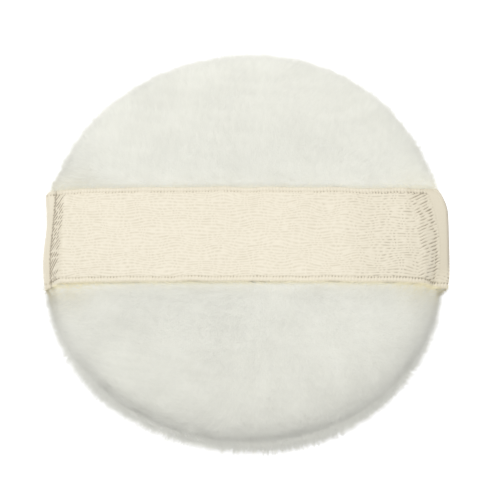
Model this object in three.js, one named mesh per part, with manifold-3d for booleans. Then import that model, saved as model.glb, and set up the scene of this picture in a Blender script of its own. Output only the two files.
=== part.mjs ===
// A round velour powder puff with a satin finger ribbon across its back.
// It is made as the real one is sewn: two velour discs and both ribbon ends share one lockstitched
// rim seam, turned right side out over a foam pad, and the turning gap is closed by hand.
// Millimetres, +Z up. The application face rests on z = 0 and the ribbon runs along X over the back.

import * as THREE from "three";
import { mergeGeometries, mergeVertices } from "three/addons/utils/BufferGeometryUtils.js";
import Module from "manifold-3d";

const wasm = await Module();
wasm.setup();

// The pillow
const PUFF_DIAMETER = 80;
const HALF_HEIGHT = 9.25; // from the seam plane to the crown of either cover
const REST_FLAT_DEPTH = 0.5; // how far the application face is pressed flat by its own rest
const CROWN_POWER = 3.8; // 2 is an ellipse, more is a broader crown with a tighter rim
const SEAM_DRAW_IN = 1; // how far the stitches draw the rim in
const SEAM_DRAW_HEIGHT = 1.4; // the height over which that pull fades

// Velour cloth, its pile included
const COVER_THICKNESS = 2.4;
const ALLOWANCE_THICKNESS = 1.2; // where the pile is crushed in the seam
const SEAM_ALLOWANCE = 4; // cloth left past the stitch line
const SEAM_GAP = 0.3; // between the two allowances

// Satin ribbon
const RIBBON_WIDTH = 19;
const RIBBON_THICKNESS = 0.4;
const RIBBON_PRESS = 0.2; // how deep its underside is pressed into the pile

// Stitching
const THREAD_DIAMETER = 0.25;
const STITCH_COUNT = 40; // needle holes round the rim
const CLOSING_STITCHES = 5; // of those, the holes of the hand-closed gap
const TAIL_SHARE = 0.35; // of a stitch, left as a tail at each thread end

// Clearances
const CLEARANCE = 0.3; // between soft pieces that lie on each other
const THREAD_CLEARANCE = 0.15; // round each strand of thread

// Facets
const ROUND_STEPS = 40;
const COVER_CROWN_STEPS = 6;
const COVER_DRAW_STEPS = 3;
const DRAW_SPENT = 1.5; // fading heights after which the seam's pull no longer shows
const LINING_STEPS = 4;
const RIBBON_CROWN_STEPS = 6;
const RIBBON_RIM_STEPS = 7;
const RIBBON_TURN_STEPS = 3;
const RIBBON_ACROSS_STEPS = 4;
const RIBBON_RIM_ANGLE = THREE.MathUtils.degToRad(50); // where the crown's stations end
const THREAD_SIDES = 5;
const WELD_DISTANCE = 1e-4;

// Sizes that follow from those above
const reach = PUFF_DIAMETER / 2;
const liningReach = reach - COVER_THICKNESS;
const liningHeight = HALF_HEIGHT - COVER_THICKNESS;
const drawTop = DRAW_SPENT * SEAM_DRAW_HEIGHT;
const allowanceTop = SEAM_GAP / 2 + ALLOWANCE_THICKNESS;
const seamHeight = HALF_HEIGHT - REST_FLAT_DEPTH;
const threadRadius = THREAD_DIAMETER / 2;
const loopHalf = THREAD_DIAMETER + THREAD_CLEARANCE; // from a loop's middle to each of its legs
const holeHalf = loopHalf + threadRadius + THREAD_CLEARANCE;
const strandHeight = allowanceTop + THREAD_CLEARANCE + threadRadius;
const grooveHalf = strandHeight + threadRadius + CLEARANCE; // room in the pad for the seam
const ribbonMiddle = RIBBON_THICKNESS / 2 - RIBBON_PRESS; // above the pile tips
const holeCount = Math.round(STITCH_COUNT);
const closingCount = Math.round(CLOSING_STITCHES);
const stitchAngle = (2 * Math.PI) / holeCount;
const quarterTurn = Math.PI / 2;

// The pillow's half section is a superellipse of radius against height above the seam plane.
function sectionPoint(angle, across, height) {
  const power = 2 / CROWN_POWER;
  return new THREE.Vector2(across * Math.cos(angle) ** power, height * Math.sin(angle) ** power);
}

function sectionNormal(point, across, height) {
  const power = CROWN_POWER - 1;
  const outward = (point.x / across) ** power / across;
  const upward = (point.y / height) ** power / height;
  return new THREE.Vector2(outward, upward).normalize();
}

function angleAtHeight(level, height) {
  return Math.asin((level / height) ** (CROWN_POWER / 2));
}

function crownHeight(radius) {
  return HALF_HEIGHT * (1 - (radius / reach) ** CROWN_POWER) ** (1 / CROWN_POWER);
}

// The stitches pull the rim in most at the seam plane.
function drawnIn(point) {
  const pull = SEAM_DRAW_IN * Math.exp(-((point.y / SEAM_DRAW_HEIGHT) ** 2));
  return new THREE.Vector2(point.x * (1 - pull / reach), point.y);
}

// The section's points from one height down to a lower one, evenly spaced by angle.
function sectionRun(across, height, from, to, steps) {
  const start = angleAtHeight(from, height);
  const end = angleAtHeight(to, height);
  const run = [];
  for (let i = 0; i <= steps; i += 1) {
    const angle = THREE.MathUtils.lerp(start, end, i / steps);
    run.push(drawnIn(sectionPoint(angle, across, height)));
  }
  return run;
}

// The lining meets its allowance at the wall, the seam runs beside it, and the cut edge lies past that.
const wallAngle = angleAtHeight(allowanceTop, liningHeight);
const wall = drawnIn(sectionPoint(wallAngle, liningReach, liningHeight));
const stitchRadius = wall.x - CLEARANCE - holeHalf;
const cutEdge = stitchRadius - SEAM_ALLOWANCE;

// Welds shared corners and drops the faces that close to nothing on the axis.
function welded(geometry) {
  const bare = new THREE.BufferGeometry();
  bare.setAttribute("position", geometry.getAttribute("position"));
  bare.setIndex(geometry.index);
  const merged = mergeVertices(bare, WELD_DISTANCE);
  const corners = merged.index.array;
  const kept = [];
  for (let i = 0; i < corners.length; i += 3) {
    const [a, b, c] = corners.slice(i, i + 3);
    if (a !== b && b !== c && c !== a) kept.push(a, b, c);
  }
  merged.setIndex(kept);
  return merged;
}

// Revolves a half section about Z. It is listed clockwise, from the axis round to the axis again.
function revolved(section) {
  const lathe = new THREE.LatheGeometry([...section].reverse(), ROUND_STEPS);
  lathe.rotateX(quarterTurn);
  return welded(lathe);
}

function toSolid(geometry) {
  const vertProperties = new Float32Array(geometry.getAttribute("position").array);
  const triVerts = new Uint32Array(geometry.index.array);
  return new wasm.Manifold(new wasm.Mesh({ numProp: 3, vertProperties, triVerts }));
}

function fromSolid(solid) {
  const mesh = solid.getMesh();
  const geometry = new THREE.BufferGeometry();
  geometry.setAttribute("position", new THREE.BufferAttribute(mesh.vertProperties, 3));
  geometry.setIndex(new THREE.BufferAttribute(mesh.triVerts, 1));
  return geometry;
}

function cut(geometry, ...tools) {
  let solid = toSolid(geometry);
  for (const tool of tools) solid = solid.subtract(toSolid(tool));
  return fromSolid(solid);
}

// The lining side of a cover, from its crown down to the level of the pad's groove.
function liningRun() {
  return sectionRun(liningReach, liningHeight, liningHeight, grooveHalf, LINING_STEPS);
}

// Velour cover: pile surface from the crown to the seam, allowance turned in, then the lining side.
function coverSection(pressedFlat) {
  const crown = HALF_HEIGHT - pressedFlat;
  const seamEdge = SEAM_GAP / 2;
  return [
    new THREE.Vector2(0, crown),
    ...sectionRun(reach, HALF_HEIGHT, crown, drawTop, COVER_CROWN_STEPS),
    ...sectionRun(reach, HALF_HEIGHT, drawTop, seamEdge, COVER_DRAW_STEPS).slice(1),
    new THREE.Vector2(cutEdge, seamEdge),
    new THREE.Vector2(cutEdge, allowanceTop),
    wall,
    ...liningRun().reverse(),
  ];
}

function turnedOver(section) {
  return section.map((point) => new THREE.Vector2(point.x, -point.y)).reverse();
}

// Foam pad: fills the covers, with a groove round its rim for the allowances and their stitches.
function padSection() {
  const upper = liningRun().map((point) => {
    const inward = sectionNormal(point, liningReach, liningHeight).multiplyScalar(-CLEARANCE);
    const inset = point.clone().add(inward);
    inset.y = Math.max(inset.y, grooveHalf);
    return inset;
  });
  upper.push(new THREE.Vector2(cutEdge - CLEARANCE, grooveHalf));
  return [...upper, ...turnedOver(upper)];
}

// A point of the section, set on the round plan at a distance across from the ribbon's centreline.
function onPlan(point, across) {
  return new THREE.Vector3(Math.sqrt(point.x ** 2 - across ** 2), across, point.y);
}

// One half of the ribbon's run, from the middle of the back, down the rim and into the seam.
// It is taut, so it bridges the drawn-in seam and turns in with that depth as its radius.
function ribbonRun(across, offset, overrun) {
  const rimStart = sectionPoint(RIBBON_RIM_ANGLE, reach, HALF_HEIGHT);
  const crownEnd = Math.sqrt(rimStart.x ** 2 - (RIBBON_WIDTH / 2) ** 2);
  const turnAngle = angleAtHeight(SEAM_DRAW_IN, HALF_HEIGHT);
  const turnCentre = sectionPoint(turnAngle, reach, HALF_HEIGHT).x - SEAM_DRAW_IN;
  const turnRadius = SEAM_DRAW_IN + offset;
  const run = [];
  for (let i = 0; i < RIBBON_CROWN_STEPS; i += 1) {
    const along = (crownEnd * i) / RIBBON_CROWN_STEPS;
    const height = crownHeight(Math.hypot(along, across)) + offset;
    run.push(new THREE.Vector3(along, across, height));
  }
  for (let i = 0; i <= RIBBON_RIM_STEPS; i += 1) {
    const angle = THREE.MathUtils.lerp(RIBBON_RIM_ANGLE, turnAngle, i / RIBBON_RIM_STEPS);
    const point = sectionPoint(angle, reach, HALF_HEIGHT);
    point.addScaledVector(sectionNormal(point, reach, HALF_HEIGHT), offset);
    run.push(onPlan(point, across));
  }
  for (let i = 1; i <= RIBBON_TURN_STEPS; i += 1) {
    const turn = (quarterTurn * i) / RIBBON_TURN_STEPS;
    const radius = turnCentre + turnRadius * Math.cos(turn);
    const height = SEAM_DRAW_IN - turnRadius * Math.sin(turn);
    run.push(onPlan(new THREE.Vector2(radius, height), across));
  }
  run.push(onPlan(new THREE.Vector2(cutEdge - overrun, -offset), across));
  return run;
}

// One face of the ribbon as rows of points: each row runs from the left end to the right end.
function ribbonFace(width, offset, overrun) {
  const rows = [];
  for (let j = 0; j <= RIBBON_ACROSS_STEPS; j += 1) {
    const across = width * (j / RIBBON_ACROSS_STEPS - 1 / 2);
    const right = ribbonRun(across, offset, overrun);
    const left = right.slice(1).map((point) => new THREE.Vector3(-point.x, point.y, point.z));
    rows.push([...left.reverse(), ...right]);
  }
  return rows;
}

// The ribbon as a closed strip, or the space it needs when room is left all round it.
function ribbonStrip(room) {
  const width = RIBBON_WIDTH + 2 * room;
  const half = RIBBON_THICKNESS / 2 + room;
  const upper = ribbonFace(width, ribbonMiddle + half, room);
  const lower = ribbonFace(width, ribbonMiddle - half, room);
  const around = [...upper, ...lower.reverse()];
  const columns = around[0].length;
  const corners = [];
  around.forEach((row, j) => {
    const next = ((j + 1) % around.length) * columns;
    for (let i = 0; i + 1 < columns; i += 1) {
      const [a, b] = [j * columns + i, next + i];
      corners.push(a, a + 1, b + 1, a, b + 1, b);
    }
  });
  for (let j = 0; j < RIBBON_ACROSS_STEPS; j += 1) {
    const [a, b] = [j * columns, (j + 1) * columns];
    const [c, d] = [(around.length - 2 - j) * columns, (around.length - 1 - j) * columns];
    const end = columns - 1;
    corners.push(a, b, c, a, c, d);
    corners.push(a + end, c + end, b + end, a + end, d + end, c + end);
  }
  const geometry = new THREE.BufferGeometry().setFromPoints(around.flat());
  geometry.setIndex(corners);
  return geometry;
}

// A point on the seam: by angle round the rim, radius and height from the seam plane.
function onSeam(angle, radius, height) {
  return new THREE.Vector3(radius * Math.cos(angle), radius * Math.sin(angle), height);
}

// Needle holes: square prisms through both allowances, turned to face the middle.
function needleHoles() {
  const depth = 2 * (allowanceTop + THREAD_CLEARANCE);
  const holes = [];
  for (let k = 0; k < holeCount; k += 1) {
    const hole = new THREE.BoxGeometry(2 * holeHalf, 2 * holeHalf, depth);
    hole.translate(stitchRadius, 0, 0);
    hole.rotateZ(k * stitchAngle);
    holes.push(hole);
  }
  return welded(mergeGeometries(holes));
}

// The hand-closed holes are centred on +Y, away from both ribbon ends.
const closingFirst = Math.round(holeCount / 4 - (closingCount - 1) / 2);
const closingLast = closingFirst + closingCount - 1;
const machineFirst = closingLast + 1;
const machineLast = closingFirst - 1 + holeCount;

// Needle thread: lies on the upper allowance and drops a loop through each hole to the seam plane.
function needlePath() {
  const loopHeight = -loopHalf / 2;
  const inner = stitchRadius - loopHalf;
  const outer = stitchRadius + loopHalf;
  const path = [onSeam((machineFirst - TAIL_SHARE) * stitchAngle, inner, strandHeight)];
  for (let k = machineFirst; k <= machineLast; k += 1) {
    const angle = k * stitchAngle;
    path.push(onSeam(angle, inner, strandHeight));
    path.push(onSeam(angle, inner, loopHeight));
    path.push(onSeam(angle, outer, loopHeight));
    path.push(onSeam(angle, outer, strandHeight));
  }
  path.push(onSeam((machineLast + TAIL_SHARE) * stitchAngle, outer, strandHeight));
  return path;
}

// Bobbin thread: lies under the lower allowance and rises in each hole through the needle's loop.
function bobbinPath() {
  const lockHeight = loopHalf / 2;
  const legAngle = loopHalf / stitchRadius;
  const path = [onSeam((machineFirst - TAIL_SHARE) * stitchAngle, stitchRadius, -strandHeight)];
  for (let k = machineFirst; k <= machineLast; k += 1) {
    const before = k * stitchAngle - legAngle;
    const after = k * stitchAngle + legAngle;
    path.push(onSeam(before, stitchRadius, -strandHeight));
    path.push(onSeam(before, stitchRadius, lockHeight));
    path.push(onSeam(after, stitchRadius, lockHeight));
    path.push(onSeam(after, stitchRadius, -strandHeight));
  }
  path.push(onSeam((machineLast + TAIL_SHARE) * stitchAngle, stitchRadius, -strandHeight));
  return path;
}

// Closing thread: a running stitch, down through one hole and up through the next.
function closingPath() {
  let side = strandHeight;
  const path = [onSeam((closingFirst - TAIL_SHARE) * stitchAngle, stitchRadius, side)];
  for (let k = closingFirst; k <= closingLast; k += 1) {
    path.push(onSeam(k * stitchAngle, stitchRadius, side));
    side = -side;
    path.push(onSeam(k * stitchAngle, stitchRadius, side));
  }
  path.push(onSeam((closingLast + TAIL_SHARE) * stitchAngle, stitchRadius, side));
  return path;
}

// The first ring of a thread: a regular section square to its first stretch.
function threadEnd(path) {
  const heading = path[1].clone().sub(path[0]).normalize();
  const sideways = new THREE.Vector3(0, 0, 1).cross(heading).normalize();
  const upward = heading.clone().cross(sideways);
  const ring = [];
  for (let i = 0; i < THREAD_SIDES; i += 1) {
    const turn = (2 * Math.PI * i) / THREAD_SIDES;
    const point = path[0].clone();
    point.addScaledVector(sideways, threadRadius * Math.cos(turn));
    point.addScaledVector(upward, threadRadius * Math.sin(turn));
    ring.push(point);
  }
  return ring;
}

// A thread along straight stretches: each ring is carried along its stretch to the mitre at the bend.
function threadTube(path) {
  const rings = [threadEnd(path)];
  for (let i = 1; i < path.length; i += 1) {
    const heading = path[i].clone().sub(path[i - 1]).normalize();
    const mitre = heading.clone();
    if (i + 1 < path.length) mitre.add(path[i + 1].clone().sub(path[i]).normalize());
    const ring = rings[i - 1].map((point) => {
      const travel = path[i].clone().sub(point).dot(mitre) / heading.dot(mitre);
      return point.clone().addScaledVector(heading, travel);
    });
    rings.push(ring);
  }
  const corners = [];
  const last = (rings.length - 1) * THREAD_SIDES;
  for (let i = 0; i + 1 < rings.length; i += 1) {
    for (let j = 0; j < THREAD_SIDES; j += 1) {
      const [a, b] = [i * THREAD_SIDES + j, i * THREAD_SIDES + ((j + 1) % THREAD_SIDES)];
      corners.push(a, b, b + THREAD_SIDES, a, b + THREAD_SIDES, a + THREAD_SIDES);
    }
  }
  for (let j = 1; j + 1 < THREAD_SIDES; j += 1) {
    corners.push(0, j + 1, j);
    corners.push(last, last + j, last + j + 1);
  }
  const geometry = new THREE.BufferGeometry().setFromPoints(rings.flat());
  geometry.setIndex(corners);
  return geometry;
}

// Finishes
const velour = { color: 0xe8e9e0, roughness: 1, metalness: 0 };
const satin = { color: 0xf2ead5, roughness: 0.45, metalness: 0 };
const foam = { color: 0xf1efe6, roughness: 0.95, metalness: 0 };
const cotton = { color: 0xefeadc, roughness: 0.8, metalness: 0 };

function piece(name, geometry, finish) {
  const mesh = new THREE.Mesh(geometry, new THREE.MeshStandardMaterial(finish));
  mesh.name = name;
  return mesh;
}

// All pieces are drawn about the seam plane, which stands at its height above the rest face.
const holes = needleHoles();
const ribbonRoom = ribbonStrip(CLEARANCE);
const backCover = cut(revolved(coverSection(0)), ribbonRoom, holes);
const frontCover = cut(revolved(turnedOver(coverSection(REST_FLAT_DEPTH))), ribbonRoom, holes);
const ribbonStrap = cut(ribbonStrip(0), holes);

const puff = new THREE.Group();
puff.position.z = seamHeight;
puff.add(
  piece("back_cover", backCover, velour),
  piece("front_cover", frontCover, velour),
  piece("foam_pad", revolved(padSection()), foam),
  piece("ribbon_strap", ribbonStrap, satin),
  piece("needle_thread", threadTube(needlePath()), cotton),
  piece("bobbin_thread", threadTube(bobbinPath()), cotton),
  piece("closing_thread", threadTube(closingPath()), cotton),
);

export default puff;
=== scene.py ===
# %% [markdown]
# # A round velour powder puff with a satin finger ribbon
#
# The real puff is two velour discs sewn face to face round the rim, with both ends of a ribbon caught
# in the seam, turned right side out and filled with a soft pad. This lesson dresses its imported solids:
# they lend their places, and new pieces with cloth, pile and weave stand in for them. Working sizes are
# in millimetres, and only the last step of each mesh turns them into metres.

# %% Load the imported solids
import math

import bpy
import numpy as np
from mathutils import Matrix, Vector


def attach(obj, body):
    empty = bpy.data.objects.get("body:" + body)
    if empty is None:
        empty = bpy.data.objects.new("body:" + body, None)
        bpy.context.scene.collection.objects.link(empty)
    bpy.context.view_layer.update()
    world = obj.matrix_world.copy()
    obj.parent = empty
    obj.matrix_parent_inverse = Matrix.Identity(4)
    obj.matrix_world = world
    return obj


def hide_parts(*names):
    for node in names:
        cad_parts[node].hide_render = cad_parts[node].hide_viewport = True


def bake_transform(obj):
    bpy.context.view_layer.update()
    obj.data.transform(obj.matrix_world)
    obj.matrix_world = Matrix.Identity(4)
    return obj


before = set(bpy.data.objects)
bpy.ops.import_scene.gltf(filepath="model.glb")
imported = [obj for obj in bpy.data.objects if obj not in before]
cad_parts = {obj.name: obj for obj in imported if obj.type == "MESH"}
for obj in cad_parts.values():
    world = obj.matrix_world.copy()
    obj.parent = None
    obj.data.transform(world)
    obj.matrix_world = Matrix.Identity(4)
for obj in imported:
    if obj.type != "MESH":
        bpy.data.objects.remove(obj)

MM = 0.001
scene = bpy.context.scene
join = np.concatenate
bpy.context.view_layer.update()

# %% [markdown]
# ## The camera
#
# A camera is matched to a photograph by known shapes: the round outline seen as an ellipse gives the
# height of the view, and how far the raised ribbon sits above the ellipse's middle gives the distance.
# A long lens from 70 degrees up, about five puff widths away, fits both.

# %% Place the camera
VIEW_ELEVATION = math.radians(70.4)
VIEW_DISTANCE = 423.0
VIEW_AIM = Vector((0.98, 0.0, 9.0))
PIXELS_PER_MM = 5.124  # at the aim point
IMAGE_SIDE = 500
SENSOR_WIDTH = 36.0

backward = Vector((0.0, -math.cos(VIEW_ELEVATION), math.sin(VIEW_ELEVATION)))
lens = bpy.data.cameras.new("view")
lens.sensor_width = SENSOR_WIDTH
lens.lens = PIXELS_PER_MM * VIEW_DISTANCE / IMAGE_SIDE * SENSOR_WIDTH
camera = bpy.data.objects.new("view", lens)
camera.location = (VIEW_AIM + backward * VIEW_DISTANCE) * MM
camera.rotation_euler = (-backward).to_track_quat("-Z", "Y").to_euler()
scene.collection.objects.link(camera)
scene.camera = camera
print("Lens, mm:", round(lens.lens, 1))

# %% [markdown]
# ## Meshes from arrays
#
# Cloth, pile and weave need many thousands of points, so each mesh is worked out as arrays and handed to
# Blender in one go. Every piece then gets its finish, most of them the body they move with, and the solid
# each stands for is hidden.


# %% Helpers that make and place a piece
def new_mesh(name, points, *face_arrays):
    """A smooth mesh from points in millimetres and arrays of faces, one for each corner count."""
    corners = join([np.asarray(f, np.int32).ravel() for f in face_arrays])
    sizes = join([np.full(len(f), np.shape(f)[1], np.int32) for f in face_arrays])
    mesh = bpy.data.meshes.new(name)
    mesh.vertices.add(len(points))
    mesh.loops.add(len(corners))
    mesh.polygons.add(len(sizes))
    mesh.vertices.foreach_set("co", (np.asarray(points) * MM).astype(np.float32).ravel())
    mesh.loops.foreach_set("vertex_index", corners)
    mesh.polygons.foreach_set("loop_start", np.cumsum(sizes) - sizes)
    mesh.update(calc_edges=True)
    mesh.shade_smooth()
    made = bpy.data.objects.new(name, mesh)
    scene.collection.objects.link(made)
    return made


def dress(made, finish, node):
    """Gives a piece its finish and hides the solid it stands for."""
    made.data.materials.clear()
    made.data.materials.append(finish)
    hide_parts(node)
    print(made.name, "faces:", len(made.data.polygons))
    return made


def add_tone(made, tones, name="tone"):
    """A value for each point, which the finish turns into colour."""
    layer = made.data.attributes.new(name, "FLOAT", "POINT")
    layer.data.foreach_set("value", np.asarray(tones, np.float32).ravel())


def add_bake_map(made, places):
    """A place on a flat map for every corner, for baking the finish."""
    uv = made.data.uv_layers.new(name="OFBake")
    uv.data.foreach_set("uv", places.astype(np.float32).ravel())


def unit(vectors):
    return vectors / np.linalg.norm(vectors, axis=-1, keepdims=True)


def ease(low, high, value):
    """A soft change from nought at one value to one at another."""
    share = np.clip((value - low) / (high - low), 0.0, 1.0)
    return share * share * (3.0 - 2.0 * share)


# %% [markdown]
# ## Random but repeatable
#
# Hand-made things are never quite even. A smooth random field is a sum of plane waves whose directions
# and phases come from a seed, so the puff is uneven in the same way every time the script runs.


# %% A smooth random field
def drift(seed, wavelength, count=16):
    """A function of position with a mean of nought and a spread of about one."""
    draw = np.random.default_rng(seed)
    ways = unit(draw.normal(size=(count, 3)))
    ways *= 2 * math.pi / (wavelength * draw.uniform(0.7, 1.5, (count, 1)))
    phases = draw.uniform(0, 2 * math.pi, count)

    def field(points):
        return np.sin(np.asarray(points) @ ways.T + phases).sum(-1) / math.sqrt(count / 2)

    return field


# %% [markdown]
# ## The form of the puff
#
# Cut through the middle, the filled puff is a superellipse: a broad, nearly flat crown with a tight
# rim. From above it is a circle that sewing has made uneven: the taut ribbon draws the rim in at its
# ends, and the cloth bulges between them. The pile tips make this outer form, and the woven ground that
# carries them lies one pile depth below.

# %% Section and plan
REACH = 40.3
CROWN = 9.25
CROWN_POWER = 3.8
WALL_FROM = 0.9  # share of the reach where the crown turns into the wall
FINE_STEPS = 200
PLAN_WAVES = ((2, -0.0066, 0.0028), (3, -0.0078, -0.0040), (4, -0.0075, -0.0007))
PLAN_MEAN = -0.002


def plan(turn):
    """The outline's radius as a share of the reach, by the angle round from +X."""
    waves = [c * np.cos(k * turn) + s * np.sin(k * turn) for k, c, s in PLAN_WAVES]
    return 1.0 + PLAN_MEAN + sum(waves)


def dense_section(reach, crown):
    """Half section from the crown's middle to the seam, in fine steps."""
    out = np.linspace(0, WALL_FROM * reach, FINE_STEPS)
    up = crown * (1 - (out / reach) ** CROWN_POWER) ** (1 / CROWN_POWER)
    fall = np.linspace(up[-1], 0, FINE_STEPS)[1:]
    wall = reach * (1 - (fall / crown) ** CROWN_POWER) ** (1 / CROWN_POWER)
    return join([out, wall]), join([up, fall])


def even_steps(count, *tracks):
    """A line of points moved to even steps, and the length along it to each."""
    pieces = np.sqrt(sum(np.diff(track) ** 2 for track in tracks))
    length = join([[0.0], np.cumsum(pieces)])
    at = np.linspace(0, length[-1], count)
    return [np.interp(at, length, track) for track in tracks], at


def even_section(count, reach=REACH):
    """The tip section at even steps: radius, height and the outward normal."""
    (radius, height), _ = even_steps(count, *dense_section(reach, CROWN))
    outward = (radius / reach) ** (CROWN_POWER - 1) / reach
    upward = (height / CROWN) ** (CROWN_POWER - 1) / CROWN
    size = np.hypot(outward, upward)
    return radius, height, outward / size, upward / size


print("Half section, mm:", round(even_steps(2, *dense_section(REACH, CROWN))[1][-1], 1))

# %% [markdown]
# ## Closed rounds
#
# The skin, the covers and the pad are round and closed, so each is built as rings of points with a pole
# at each end. A lathe would turn such a form from one section, but rings can also be uneven.


# %% Helpers for round forms
def even_turns(count):
    return np.arange(count) * 2 * math.pi / count


def all_round(out, level, turn):
    """Points at radii and heights all the way round, as rings by turns."""
    out, level, turn = np.broadcast_arrays(out, level, turn)
    return np.stack([out * np.cos(turn), out * np.sin(turn), level], -1)


def closed_round(name, rings, poles, turned_over=False):
    """A closed mesh from rings of points and the pole at each end."""
    grid = np.arange(rings[..., 0].size).reshape(rings.shape[:2])
    after = np.roll(grid, -1, 1)
    quads = np.stack([grid[:-1], grid[1:], after[1:], after[:-1]], -1).reshape(-1, 4)
    first = np.stack([0 * grid[0] + grid.size, grid[0], after[0]], -1)
    last = np.stack([0 * grid[0] + grid.size + 1, after[-1], grid[-1]], -1)
    caps = join([first, last])
    if turned_over:
        quads, caps = quads[:, ::-1], caps[:, ::-1]
    return new_mesh(name, join([rings.reshape(-1, 3), poles]), quads, caps)


# %% [markdown]
# ## The slack of the cloth
#
# The cover is cut a little larger than the pad, so the cloth finds its own soft unevenness. Noise could
# be painted on, but a cloth simulation gives the form that a filled, sewn skin really takes: the seam
# ring is pinned, the skin gets a few percent of slack and a light inner pressure, and the settled
# offsets are carried to the fine mesh. It runs on an enlarged copy, because Blender's cloth is tuned for
# things about a metre across.

# %% Let the skin settle
SKIN_RINGS = 20
SKIN_TURNS = 96
SKIN_SCALE = 25.0
SKIN_SLACK = 0.035
SKIN_PRESSURE = 3.0
SKIN_FRAMES = 20
SLACK_CAP = 0.2


def settle_skin():
    """Normal offsets of the settled skin, as one array of rings by turns for each cover."""
    radius, height, outward, upward = even_section(SKIN_RINGS + 1)
    turn = even_turns(SKIN_TURNS)
    upper = np.arange(1, SKIN_RINGS + 1)
    rows = join([upper, upper[-2::-1]])
    side = np.where(np.arange(len(rows)) < SKIN_RINGS, 1.0, -1.0)
    points = all_round(radius[rows, None] * plan(turn), (side * height[rows])[:, None], turn)
    normals = all_round(outward[rows, None], (side * upward[rows])[:, None], turn)
    uneven = 0.12 * drift(11, 22.0)(points)
    start = points + uneven[..., None] * normals
    poles = np.array([[0, 0, CROWN], [0, 0, -CROWN]])
    skin = closed_round("skin", start * SKIN_SCALE, poles * SKIN_SCALE)
    held = skin.vertex_groups.new(name="seam")
    first = (SKIN_RINGS - 1) * SKIN_TURNS
    held.add(list(range(first, first + SKIN_TURNS)), 1.0, "REPLACE")
    cloth = skin.modifiers.new("slack", "CLOTH")
    cloth.settings.vertex_group_mass = held.name
    cloth.settings.use_pressure = True
    cloth.settings.uniform_pressure_force = SKIN_PRESSURE
    cloth.settings.shrink_min = -SKIN_SLACK
    cloth.settings.effector_weights.gravity = 0.0
    cloth.collision_settings.use_collision = False
    for step in range(1, SKIN_FRAMES + 1):
        scene.frame_set(step)
    shown = skin.evaluated_get(bpy.context.evaluated_depsgraph_get())
    settled = np.zeros(len(shown.data.vertices) * 3, np.float32)
    shown.data.vertices.foreach_get("co", settled)
    settled = settled.reshape(-1, 3)[:-len(poles)].reshape(points.shape) / (SKIN_SCALE * MM)
    bpy.data.objects.remove(skin)
    scene.frame_set(1)
    offset = ((settled - points) * normals).sum(-1)
    offset = SLACK_CAP * np.tanh((offset - offset.mean(1, keepdims=True)) / SLACK_CAP)
    crown_row = np.zeros((1, SKIN_TURNS))
    return join([crown_row, offset[:SKIN_RINGS]]), join([crown_row, offset[:SKIN_RINGS - 2:-1]])


slack = settle_skin()
print("Slack offsets, mm:", [(round(s.min(), 2), round(s.max(), 2), round(s.std(), 3)) for s in slack])

# %% [markdown]
# ## The ribbon's run
#
# A satin finger ribbon runs flat over the crown, bends down over the rim and is caught in the seam at
# both ends, where the pull folds a crease into it. Its run comes before the cloth, because the cloth
# takes its bed from the ribbon. Every row follows a line of knots with corners rounded as cloth rounds a
# fold, in even steps so that the weave can be laid on it without stretching.
#
# The ribbon has to bow up in the middle while both ends stay sewn. It is made in two halves that meet at
# the middle, one for each sewn end.

# %% The ribbon's run over the puff
RIBBON_WIDTH = 19.2  # with the loops of its selvedges
HALF_WIDTH = RIBBON_WIDTH / 2
RIBBON_ASIDE = 0.32  # towards the back
END_ASIDE = 0.3  # how much further back the right end is pulled
CELLS_ALONG = 480  # in each half
CELLS_ACROSS = 200
RIBBON_LEVEL = 17.35  # at the crown
STITCH_REACH = 36.1
CREASE = {1: 36.6, -1: 36.55}
END_REACH = {1: 39.35, -1: 38.5}
CORNER_FROM = {1: 4.5, -1: 8.6}  # where the back corner begins to round off
CORNER_WIDTH = {1: 5.0, -1: 1.0}
CORNER_CUT = {1: 1.8, -1: 0.8}
SHOULDER_DROP = {1: 0.4, -1: 0.0}
SHOULDER_TILT = {1: 0.04, -1: 0.0}  # how much the front edge hangs below the back one before the bend
END_TILT = {1: 0.17, -1: 0.10}  # and at the sewn end
EDGE_DROOP = 0.3
TURN_IN_LEVEL = 12.5  # below it the end of the run narrows into the round seam
TURN_IN_DEPTH = 2.5
TURN_IN_FROM = 0.8
FOLD_SOFTNESS = 0.14
RUN_STEPS = 1200
row_places = np.linspace(-0.5, 0.5, CELLS_ACROSS + 1) * RIBBON_WIDTH


def ribbon_aside(x):
    """Where the ribbon's middle line lies."""
    return RIBBON_ASIDE + END_ASIDE * ease(22.0, 34.0, x)


def end_lines(across, way):
    """Where the ribbon bends, creases and ends on one side, as distances from the middle."""
    corner = np.clip((across - CORNER_FROM[way]) / CORNER_WIDTH[way], 0, 1)
    reach = END_REACH[way] - CORNER_CUT[way] * corner**2
    if way > 0:
        crease = CREASE[way] - 0.016 * (across + 3.0) ** 2  # bowed inwards at both edges
        return crease - 2.0, crease, reach
    crease = CREASE[way] + 0.7 * np.exp(-(((across + 4.0) / 8.0) ** 2))  # bulging out near the front
    return 35.0, crease, reach - 0.2 * np.sin(across * 0.436)


def ribbon_knots(across, way):
    """Corner points of the run on one side, as (distance from the middle, height)."""
    bend, crease, reach = end_lines(across, way)
    drop = SHOULDER_DROP[way]
    falls = [
        (0.0, 0.0), (12.0, 0.02), (20.0, 0.15 + 0.3 * drop), (28.0, 0.3 + drop), (31.0, 0.5 + drop),
        (bend, 1.05 + drop),
    ]
    fold = [
        (crease, 14.8), (crease + 0.35, 14.75), (reach - 0.5, 14.55), (reach - 0.1, 14.05), (reach, 13.2),
        (reach - 0.3, 11.9), (reach - 1.1, 10.9), (min(36.0, reach - 1.4), 10.1), (STITCH_REACH - 2.0, 9.7),
    ]
    return np.array([(x, RIBBON_LEVEL - fall) for x, fall in falls] + fold)


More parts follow.
